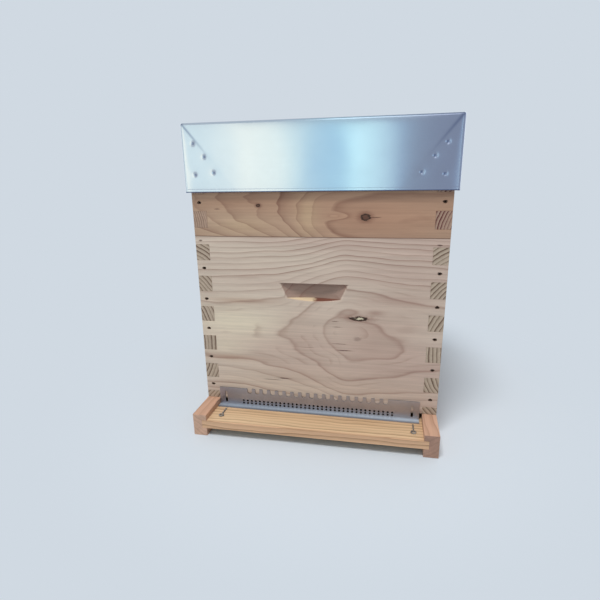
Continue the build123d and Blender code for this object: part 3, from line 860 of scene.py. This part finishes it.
dress_box(
    "body", BODY_FINGERS, 0, BODY_HOLD_TOP, BODY_TONES,
    front=dict(
        pith=(BODY_EYE[1], FRONT_Y + 0.2199), ring=0.0059, heart=(0.2261, 0.0124), squeeze=(1.112, 0.961),
        rise=0.0414, fall=0.0170, rise_at=BODY_EYE[0], rise_width=0.066, wander=0.010, contrast=0.85,
        knots=[BODY_KNOT], ridges=BODY_RIDGES, streaks=BODY_STREAKS, tints=BODY_TINTS, nails=NAILED, seed=1.3,
    ),
    right=dict(pith=(BODY_PITH_Z, SIDE_X + PITH_OUT), rise=0.022, rise_at=-0.04, seed=6.4, **BODY_SIDE),
    back=dict(
        pith=(0.16, BACK_Y - 0.10), ring=0.0064, rise=-0.09, rise_at=-0.32, rise_width=0.3, contrast=0.9,
        seed=4.1,
    ),
    left=dict(pith=(BODY_PITH_Z, -SIDE_X - PITH_OUT), rise=-0.022, rise_at=0.10, seed=2.2, **BODY_SIDE),
)
dress_box(
    "super", SUPER_FINGERS, 1, SUPER_HOLD_TOP, SUPER_TONES,
    front=dict(
        pith=(SUPER_NOSE[1], FRONT_Y + 0.2049), ring=0.0075, heart=(0.0997, 0.03), rise=0.1909, fall=0.0,
        rise_at=SUPER_NOSE[0], rise_width=0.4, tilt=(0.2628, 0.43, 0.04, -0.07), contrast=0.75, soft=0.4,
        knots=[SUPER_KNOT, SUPER_SPOT], ridges=[SUPER_RIDGE], streaks=SUPER_STREAKS, tints=SUPER_TINTS,
        nails=NAILED, seed=8.8,
    ),
    right=dict(
        pith=(SUPER_PITH_Z - 0.015, SIDE_X + 0.09), ring=0.0052, contrast=0.7, soft=0.25, end_contrast=2.4,
        end_line=RED_END_LINE, seed=9.1,
    ),
    back=dict(pith=(0.45, BACK_Y - 0.06), ring=0.008, wander=0.04, seed=3.7),
    left=dict(pith=(SUPER_PITH_Z, -SIDE_X - 0.09), ring=0.0038, contrast=0.7, end_contrast=1.2, seed=5.5),
)

# Floor
# End grain of the rail fronts, lighter on the left and darker on the right: painted light and shade
RAIL_END_LIGHT_AND_SHADE = {"left": linear(208, 168, 144), "right": linear(171, 134, 116)}
LANDING_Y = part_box("landing_board")[0].y
LANDING_FRONT = (0.0, LANDING_Y, 9.0, 0.003, linear(224, 172, 136), 0.6)
# Painted shade on the landing board behind the entrance gate
THRESHOLD_SHADE = (0.0, FRONT_Y + 0.022, 0.4, 0.018, ENTRANCE_SHADE, 1.0)
landing_pine = pine(
    "landing_pine", "xyz", FLOOR_TONES, (LANDING_Y + 0.13, -0.10), ring=0.0056, wander=0.020,
    contrast=1.25, soft=0.3, tints=[LANDING_FRONT, THRESHOLD_SHADE], seed=2.9,
)
floor_pine = pine("floor_pine", "xyz", FLOOR_TONES, (0.1, -0.08), ring=0.006, contrast=0.7, seed=7.2)
dress("landing_board", landing_pine)
for node in ("floor_board_2", "floor_board_3", "floor_board_4", "rear_closing_bar"):
    dress(node, floor_pine)
for side, tone in RAIL_END_LIGHT_AND_SHADE.items():
    rail_pine_painted_light = pine(
        f"rail_{side}_pine", "yxz", (*RAIL_TONES, tone), (0.0, 0.35), ring=0.0075, wander=0.05, contrast=1.1,
        end_contrast=0.35, seed=1.9,
    )
    dress("floor_rail_" + side, rail_pine_painted_light)

# Frames
LIME = dict(ring=0.0034, wander=0.02, contrast=0.5, end_contrast=0.5)
top_bar_lime = pine("top_bar_lime", "yxz", FRAME_TONES, (0.6, -0.9), seed=3.1, **LIME)
side_bar_lime = pine("side_bar_lime", "zxy", FRAME_TONES, (0.6, 1.4), seed=5.8, **LIME)
FRAME_EDGE = 0.0004
LUG_T = 0.010
SIDE_BAR_T = 0.008
TOP_BAR_T = {"body": 0.020, "super": 0.015}
NEARLY = 0.0001
WIRES_PER_FRAME = 9
WIRE_R = 0.0002
WIRE_LEAN = 0.0016
WIRE_FOOT = 0.004
tinned_wire = drawn_metal("tinned_wire", linear(188, 186, 182), linear(140, 138, 134), 0.32)


def dress_frame(node):
    """Timber of a comb frame, upright bars with upright grain, and its comb wires."""
    mesh = worked(node, FRAME_EDGE)
    mesh.materials.clear()
    mesh.materials.append(top_bar_lime)
    mesh.materials.append(side_bar_lime)
    low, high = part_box(node)
    under_lug = high.z - LUG_T
    window = [v.co.y for v in frame["nodes"][node].data.vertices if v.co.z < under_lug - NEARLY]
    near, far = min(window), max(window)
    for face in mesh.polygons:
        inward = min(face.center.y - near, far - face.center.y)
        upright = inward < SIDE_BAR_T + NEARLY and face.center.z < under_lug + NEARLY
        face.material_index = 1 if upright else 0
    stand_in(node, "_timber", mesh, None)

    x = (low.x + high.x) / 2
    top = high.z - TOP_BAR_T[node.split("_")[0]]
    span = far - near - 2 * SIDE_BAR_T
    wires = []
    for i in range(WIRES_PER_FRAME):
        y = near + SIDE_BAR_T + span * (i + 0.5) / WIRES_PER_FRAME
        lean = WIRE_LEAN if i % 2 else -WIRE_LEAN
        wires.append(tube([(x, y, top), (x + lean, y, low.z + WIRE_FOOT)], WIRE_R, sides=6))
    strung = mesh_from(joined(wires), node + "_wires", True)
    new_piece(node + "_wires", strung, tinned_wire, body_of(node), "wire_steel")


for node in sorted(frame["nodes"]):
    if node.startswith(("body_frame_", "super_frame_")):
        dress_frame(node)

# Cover boards
LINING_EDGE = 0.0014
crown_ply = pine(
    "crown_plywood", "yxz", PLY_TONES, (0.0, 0.30), ring=0.012, wander=0.08, contrast=0.6, end_contrast=0.6,
    seed=4.4,
)
dress("crown_board", crown_ply)
dress("roof_lining", hardboard("lining_hardboard"), LINING_EDGE)

# Roof sheet
BRIGHT_ZINC = (0.60, 0.645, 0.70)
# Tones across the roof's front, pale at the left through blue to dark violet at the right: painted
# reflections
ROOF_REFLECTION_TONES = [
    (0.0, BRIGHT_ZINC),
    (0.36, BRIGHT_ZINC),
    (0.52, (0.43, 0.60, 0.70)),
    (0.66, (0.48, 0.60, 0.69)),
    (0.85, (0.31, 0.35, 0.45)),
    (1.0, (0.29, 0.32, 0.43)),
]
# Painted shade on the roof sheet: along its foot, along the laps of its corner ears and in its clinch dents
SHEET_SHADE_TONE = linear(92, 104, 136)
LAP_SHADE, LAP_FADE = 0.6, 0.060
CLINCH_SHADE = 0.75
SHADED_FOOT = 0.0019
roof_low, roof_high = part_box("roof_sheet")
roof_foot, roof_fold = roof_low.z - LAP, roof_high.z - TOP_FOLD
roof_zinc = galvanised(
    "roof_zinc", ROOF_REFLECTION_TONES, 0.19, 0.006, 0.012, 0.35, edge=roof_foot + SHADED_FOOT,
    ears=(roof_high.x - FOLD, roof_fold, roof_fold - roof_foot),
)


def stations(low, high, fine, coarse, ends):
    """Places from low to high, close together within ends of either end."""
    places = []
    at = low
    while at < high - 1e-6:
        places.append(at)
        at += fine if min(at - low, high - at) < ends else coarse
    return places + [high]


def skirt_dent(across, down, height, half, ears):
    """How far a skirt's face lies inside its flat.

    It turns in towards its side folds in a strip that widens downward, and leans back under the top fold.
    The clinches draw it onto the ear folded behind it, whose slanting side shows as a crease near the corner.
    """
    inward = half - abs(across) - FOLD
    strip = STRIP_TOP + (STRIP_FOOT - STRIP_TOP) * down / height
    dent = 0.5 * STRIP_SLOPE * strip * (1 - max(0, 1 - inward / strip) ** 2)
    lean = 0.5 * (1 + across / half) * (1 - math.exp(-inward / LEAN_END))
    dent += LEAN_IN * lean * math.exp(-down / LEAN_DROP)
    wave = WAVE * math.sin(across / WAVE_L * 2 * math.pi + 9 * down)
    dent += wave * min(1, inward / EAR) * min(1, 3 * down / height)
    if ears:
        slant = (EAR * down / height - inward) / CREASE_W
        behind = 1 / (1 + math.exp(-max(slant, -30)))
        dent += EAR_SLOPE * CREASE_W * max(slant, 0) + CREASE * behind * math.exp(-down / CREASE_DROP)
        for x, z in CLINCHES_LEFT if across < 0 else CLINCHES_RIGHT:
            away = (inward - x) ** 2 + (down - z) ** 2
            dent += CLINCH_IN * math.exp(-away / CLINCH_R**2) + PILLOW_IN * math.exp(-away / PILLOW_R**2)
    dent += HEM_GROOVE * math.exp(-(((height - HEM - down) / HEM_GROOVE_W) ** 2))
    roll = (down - height + HEM_ROLL) / HEM_ROLL
    return dent + (HEM_ROLL * (1 - math.sqrt(1 - roll**2)) if 0 < roll <= 1 else 0)


def roof_skin():
    """Outer skin of the roof as one sheet: four skirts with rounded folds, and the top."""
    size = roof_high - roof_low
    middle = (roof_low + roof_high) / 2
    drop = size.z + LAP
    half_x, half_y = size.x / 2, size.y / 2
    front = stations(-half_x + FOLD, half_x - FOLD, 0.0011, 0.005, 0.072)
    flank = stations(-half_y + FOLD, half_y - FOLD, 0.003, 0.008, 0.03)
    right, back = Vector((1, 0, 0)), Vector((0, 1, 0))
    bends = [k * math.pi / 2 / FOLD_TURNS for k in range(1, FOLD_TURNS + 1)]
    outline = []
    for sign in (1, -1):
        for along, out, places, reach in ((right, -back, front, half_y), (back, right, flank, half_x)):
            outline += [(sign, along, out, at, reach, 0.0) for at in places]
            outline += [(sign, along, out, places[-1], reach, bend) for bend in bends[:-1]]

    def spot(down, sign, along, out, at, reach, bend):
        """Point of the outline at a distance down from the top, before the top fold."""
        if bend:
            centre = along * at + out * (reach - FOLD)
            return (centre + along * (FOLD * math.sin(bend)) + out * (FOLD * math.cos(bend))) * sign
        half = half_x if out.y else half_y
        dent = skirt_dent(at, down - TOP_FOLD, drop - TOP_FOLD, half, bool(out.y))
        if sign < 0 or not out.y:
            dent = max(dent, 0)
        return (along * at + out * (reach - dent)) * sign

    rows = []
    for down in reversed(stations(TOP_FOLD, drop, 0.0005, 0.0012, 0.008)):
        ring = [spot(down, *row) for row in outline]
        rows.append([(middle.x + p.x, middle.y + p.y, roof_high.z - down) for p in ring])
    for bend in bends:
        shrink_x = 1 - TOP_FOLD_SIDE * (1 - math.cos(bend)) / half_x
        shrink_y = 1 - TOP_FOLD * (1 - math.cos(bend)) / half_y
        z = roof_high.z - TOP_FOLD + TOP_FOLD * math.sin(bend)
        rows.append([(middle.x + p.x * shrink_x, middle.y + p.y * shrink_y, z) for p in ring])
    return wrapped(rows, capped=False)


def roof_inside():
    """Folded ears behind the skirts."""
    parts = []
    gap = SHEET + 0.5 * STRIP_SLOPE * STRIP_FOOT + EAR_SLOPE * EAR + CLINCH_IN + WAVE
    top, foot = roof_high.z - EAR_DROP, roof_low.z + EAR_FOOT
    for way, y in ((1, roof_low.y + gap), (-1, roof_high.y - gap)):
        for side, corner in ((-1, roof_low.x), (1, roof_high.x)):
            edge = corner - side * (SHEET + EAR_GAP)
            ear = [(edge, top), (edge, foot), (edge - side * EAR, foot)]
            parts.append(prism(ear, y, y + way * EAR_SHEET))
    return joined(parts)


skin = mesh_from(roof_skin(), "roof_skin", True)
for face in skin.polygons:
    face.use_smooth = face.normal.z < SQUARE
roof = new_piece("roof_skin", skin, roof_zinc, "roof", "roof_galvanised", "roof_sheet")
shell = roof.modifiers.new("sheet", "SOLIDIFY")
shell.thickness = SHEET
shell.offset = -1
ears = mesh_from(roof_inside(), "roof_ears")
new_piece("roof_ears", ears, roof_zinc, "roof", "roof_galvanised")

# Gate and strips
# Painted sheen on the gate's lip, from its front edge to its fold
LIP_SHEEN_TONES = [
    (0.0, linear(112, 122, 138)),
    (0.2, linear(158, 174, 194)),
    (0.45, linear(226, 240, 252)),
    (0.75, linear(216, 232, 248)),
    (1.0, linear(120, 124, 136)),
]
LIP_SHEEN_STRENGTH = 0.75
LIP_SHADE_SPREAD = (0.60, 0.96)
# Tones along the gate and strips, bluish at the left and warmer to the right: painted reflections
GATE_REFLECTION_TONES = [(0.0, linear(169, 169, 179)), (0.5, linear(166, 160, 163)), (1.0, linear(181, 170, 167))]
NOTCHES = 18
NOTCH_PITCH = 0.015
NOTCH_R = 0.0045
NOTCH_DEPTH = 0.010
HOLES_IN_ROW = 36
HOLE_PITCH = 0.008
HOLE_R = 0.0021
HOLE_ROWS = (0.0044, 0.0096)
SLOT_X = 0.1745
SLOT_R = 0.00225
SLOT_ENDS = (0.00625, 0.02475)
GATE_T = 0.001
GATE_BEND = 0.002
gate_low, gate_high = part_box("entrance_gate")
gate_zinc = galvanised("gate_zinc", GATE_REFLECTION_TONES, 0.42, 0.04, 0.05, waves=0.3, lip=(gate_low.y, gate_high.y))
strip_zinc = galvanised("strip_zinc", GATE_REFLECTION_TONES, 0.40, 0.05, 0.05)


def round_ended(x, low, high, radius):
    """Cutter through an upright sheet, with a half round at each height."""
    outline = [(radius * u, radius * v) for u, v in circle(14, 0.5)]
    return prism([(x + u, (high if v > 0 else low) + v) for u, v in outline], -CUT_PAST, CUT_PAST)


def spread(count, pitch):
    """Places at a pitch on either side of the middle."""
    return [(i - (count - 1) / 2) * pitch for i in range(count)]


def gate_sheet():
    """Bent sheet: notched and perforated upright, and a lip folded forward on the landing board."""
    size = gate_high - gate_low
    inner = GATE_BEND - GATE_T
    quarter = [math.pi / 2 * k / 6 for k in range(7)]
    outline = [(0, size.z)]
    outline += [(GATE_BEND * (math.cos(a) - 1), GATE_BEND * (1 - math.sin(a))) for a in quarter]
    outline += [(-size.y, 0), (-size.y, GATE_T)]
    outline += [(inner * math.sin(a) - GATE_BEND, GATE_BEND - inner * math.cos(a)) for a in quarter]
    sheet = prism(outline + [(-GATE_T, size.z)], -size.x / 2, size.x / 2)
    sheet.transform(Matrix.Rotation(math.pi / 2, 4, "Z"))
    foot = size.z - NOTCH_DEPTH + NOTCH_R
    cutters = [round_ended(x, foot, size.z + CUT_PAST, NOTCH_R) for x in spread(NOTCHES, NOTCH_PITCH)]
    cutters += [round_ended(side * SLOT_X, *SLOT_ENDS, SLOT_R) for side in (-1, 1)]
    for x in spread(HOLES_IN_ROW, HOLE_PITCH):
        cutters += [round_ended(x, z, z, HOLE_R) for z in HOLE_ROWS]
    mesh = cut(sheet, cutters)
    mesh.transform(Matrix.Translation(((gate_low.x + gate_high.x) / 2, gate_high.y, gate_low.z)))
    return mesh


stand_in("entrance_gate", "_sheet", gate_sheet(), gate_zinc)
for node in ("body_spacer_front", "body_spacer_back", "super_spacer_front", "super_spacer_back"):
    frame["nodes"][node].data.materials.clear()
    frame["nodes"][node].data.materials.append(strip_zinc)

# Screw eyes on the landing board
eye_steel = drawn_metal("eye_steel", linear(176, 170, 164), linear(112, 106, 102), 0.34, metallic=0.4)
EYE_WIRE_R = 0.0013
EYE_SWEEP = math.radians(335)
EYE_STEPS = 40
THREAD_PITCH = 0.0011
THREAD_L = 0.015
THREAD_ROOT = 0.74
POINT_L = 0.0025
POINT_R = 0.12
for side in ("left", "right"):
    node = "gate_screw_eye_" + side
    low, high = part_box(node)
    x, z = (low.x + high.x) / 2, low.z + EYE_WIRE_R
    radius = (high.x - low.x) / 2 - EYE_WIRE_R
    centre = (x, low.y + radius + EYE_WIRE_R, z)
    points = arc(centre, radius, -EYE_SWEEP, EYE_SWEEP, EYE_STEPS, ((0, 1, 0), (-1, 0, 0)))
    plain = high.y - POINT_L - THREAD_L
    shank = [(points[-1].y + 0.001, 1.0), (plain, 1.0)]
    for k in range(int(THREAD_L / THREAD_PITCH)):
        shank += [(plain + (k + 0.35) * THREAD_PITCH, THREAD_ROOT), (plain + (k + 0.85) * THREAD_PITCH, 1.0)]
    shank.append((high.y - 0.0002, POINT_R))
    radii = [EYE_WIRE_R] * len(points) + [EYE_WIRE_R * share for y, share in shank]
    points += [Vector((x, y, z)) for y, share in shank]
    round_piece(node, "_wire", tube(points, radii), eye_steel)

# Side hooks
hook_steel = drawn_metal("hook_steel", linear(132, 130, 130), linear(84, 82, 82), 0.36)
HOOK_ARM = 0.075
HOOK_CRANK = 0.080
HOOK_TAB = 0.025
HOOK_TURN = math.radians(60)
HOOK_TAB_TURN = math.radians(-55)
HOOK_TILT = math.radians(-14)
HOOK_BEND = 0.006
HOOK_WIRE_R = 0.00125
HOOK_EYE_R = 0.0035


def rounded(corners, radius, steps=8):
    """Points along straight runs whose corners are bent to a radius."""
    points = [corners[0]]
    for before, corner, after in zip(corners, corners[1:], corners[2:]):
        a, b = (before - corner).normalized(), (after - corner).normalized()
        half = a.angle(b) / 2
        reach = radius / math.tan(half)
        centre = corner + (a + b).normalized() * (radius / math.sin(half))
        start, end = corner + a * reach, corner + b * reach
        for i in range(steps + 1):
            way = (start - centre).slerp(end - centre, i / steps)
            points.append(centre + way.normalized() * radius)
    return points + [corners[-1]]


for joint in frame["joints"]:
    if not joint["name"].startswith("hook_"):
        continue
    place = Vector(joint["pos_m"])
    forward, up = Vector((0, -1, 0)), Vector((0, 0, 1))
    headings = (HOOK_TILT, HOOK_TILT + HOOK_TURN, HOOK_TILT + HOOK_TURN + HOOK_TAB_TURN)
    along = forward * math.cos(HOOK_TILT) + up * math.sin(HOOK_TILT)
    across = up * math.cos(HOOK_TILT) - forward * math.sin(HOOK_TILT)
    eye = arc(place, HOOK_EYE_R, -EYE_SWEEP, EYE_SWEEP, EYE_STEPS, (along, across))
    corners = [eye[-1]]
    for length, heading in zip((HOOK_ARM, HOOK_CRANK, HOOK_TAB), headings):
        place = place + (forward * math.cos(heading) + up * math.sin(heading)) * length
        corners.append(place)
    points = eye + rounded(corners, HOOK_BEND)[1:]
    node = joint["child"]
    round_piece(node, "_wire", tube(points, HOOK_WIRE_R), hook_steel)

# Screws and nails: radius and distance along each
brass = drawn_metal("screw_yellow", linear(206, 172, 104), linear(160, 122, 62), 0.3)
nail_dark = drawn_metal("nail_dark", linear(92, 76, 66), linear(54, 44, 40), 0.5)
SCREW_POINT = [(0.0003, 0.0), (0.00172, 0.004)]
SCREW_R = 0.00172
SCREW_HEAD_H = 0.002
SCREW_HEAD = [(0.0036, 0.0), (0.00355, 0.0005), (0.0029, 0.0013), (0.0018, 0.0018), (0.0006, SCREW_HEAD_H)]
NAIL = [(0.0004, 0.0), (0.0015, 0.003), (0.0015, 0.0432), (0.0022, 0.0436), (0.0022, 0.0447), (0.0014, 0.045)]


def loose_boxes(node):
    """Lowest and highest corner of each separate solid of a node."""
    bm = from_node(node)
    left = set(bm.verts)
    boxes = []
    while left:
        todo, found = {left.pop()}, set()
        while todo:
            vert = todo.pop()
            found.add(vert)
            todo |= {other for edge in vert.link_edges for other in edge.verts} & left
            left -= todo
        boxes.append([Vector(map(f, *(v.co for v in found))) for f in (min, max)])
    bm.free()
    return sorted(boxes, key=lambda pair: tuple(round(v, 4) for v in pair[0]))


for node in ("hook_pivot_screws", "hook_catch_screws"):
    turned = []
    for low, high in loose_boxes(node):
        place = (low + high) / 2
        out = 1 if place.x > 0 else -1
        place.x = low.x if out > 0 else high.x
        shank = high.x - low.x - SCREW_HEAD_H
        profile = [*SCREW_POINT, (SCREW_R, shank), *((r, shank + h) for r, h in SCREW_HEAD)]
        turned.append(lathe(profile, place, (out, 0, 0)))
    round_piece(node, "_turned", joined(turned), brass)

for node in ("body_corner_nails", "super_corner_nails", "floor_nails"):
    driven = []
    for low, high in loose_boxes(node):
        place = (low + high) / 2
        axis = 1 if high.y - low.y > high.x - low.x else 0
        out = -1 if place[axis] < (0, MIDDLE_Y)[axis] else 1
        place[axis] = (high if out < 0 else low)[axis]
        driven.append(lathe(NAIL, place, (0, out, 0) if axis else (out, 0, 0), 12))
    round_piece(node, "_driven", joined(driven), nail_dark)


def floor_material():
    """Pale floor that keeps the hive's shadow and fades into the backdrop's colour further out."""
    g = Finish("stage_floor")
    speck = g.noise(g.object, scale=60)
    g.done(g.mix(g.mul(speck, 0.04), FLOOR_ALBEDO, BACKDROP), 0.9, specular=0.1)
    fade = g.step(g.away(*g.xyz[:2]), *FLOOR_FADE)
    glow = g.node("Emission", {"Color": (*BACKDROP, 1)})
    blend = g.node("MixShader", {0: fade, 1: g.shader.outputs[0], 2: glow.outputs[0]})
    g.put(blend.outputs[0], g.tree.nodes["Material Output"].inputs["Surface"])
    return g.material


def make_stage():
    bm = bmesh.new()
    bmesh.ops.create_grid(bm, x_segments=8, y_segments=8, size=FLOOR_SIZE / 2)
    floor = placed("stage_floor", mesh_from(bm, "stage_floor"))
    floor.data.materials.append(floor_material())

    world = bpy.data.worlds.new("studio")
    bpy.context.scene.world = world
    g = Graph(world, "Background")
    rays = g.node("LightPath", {}).outputs
    g.shader.inputs["Color"].default_value = (*BACKDROP, 1)
    seen = g.math("MAXIMUM", rays["Is Camera Ray"], rays["Is Glossy Ray"])
    seen = g.math("MAXIMUM", seen, rays["Is Transmission Ray"])
    g.put(g.scale(seen, WORLD_LIGHT, 1.0), g.shader.inputs["Strength"])


def area_light(name, place, aim, size, power):
    data = bpy.data.lights.new(name, "AREA")
    data.shape = "DISK"
    data.size = size
    data.energy = power
    lamp = placed(name, data)
    lamp.location = place
    lamp.rotation_mode = "QUATERNION"
    lamp.rotation_quaternion = (Vector(aim) - Vector(place)).to_track_quat("-Z", "Y")
    lamp.visible_camera = False
    return lamp


def softbox(name, left, right, heights, light):
    """Upright softbox that faces the hive's front."""
    low, high = heights
    place = ((left + right) / 2, SOFTBOX_Y, (low + high) / 2)
    brightest = max(light)
    power = math.pi * brightest * (right - left) * (high - low)
    data = area_light(name, place, (place[0], 0, place[2]), right - left, power).data
    data.shape = "RECTANGLE"
    data.size_y = high - low
    data.color = [part / brightest for part in light]


def make_camera():
    data = bpy.data.cameras.new("camera")
    data.sensor_width = SENSOR
    data.lens = CAMERA_LENS
    data.shift_x, data.shift_y = CAMERA_SHIFT
    camera = placed("camera", data)
    turn = Matrix.Rotation(CAMERA_YAW, 4, "Z")
    turn = turn @ Matrix.Rotation(math.pi / 2 + CAMERA_PITCH, 4, "X") @ Matrix.Rotation(CAMERA_ROLL, 4, "Z")
    camera.matrix_world = Matrix.Translation(CAMERA_PLACE) @ turn
    bpy.context.scene.camera = camera


make_stage()
for lamp_name, lamp_place, lamp_size, lamp_power in LAMPS:
    area_light(lamp_name, lamp_place, AIM, lamp_size, lamp_power).visible_glossy = lamp_name != "key"
for lamp_name, ends in SOFTBOXES.items():
    softbox(lamp_name, *ends)
make_camera()
bpy.context.scene.view_settings.view_transform = "Standard"
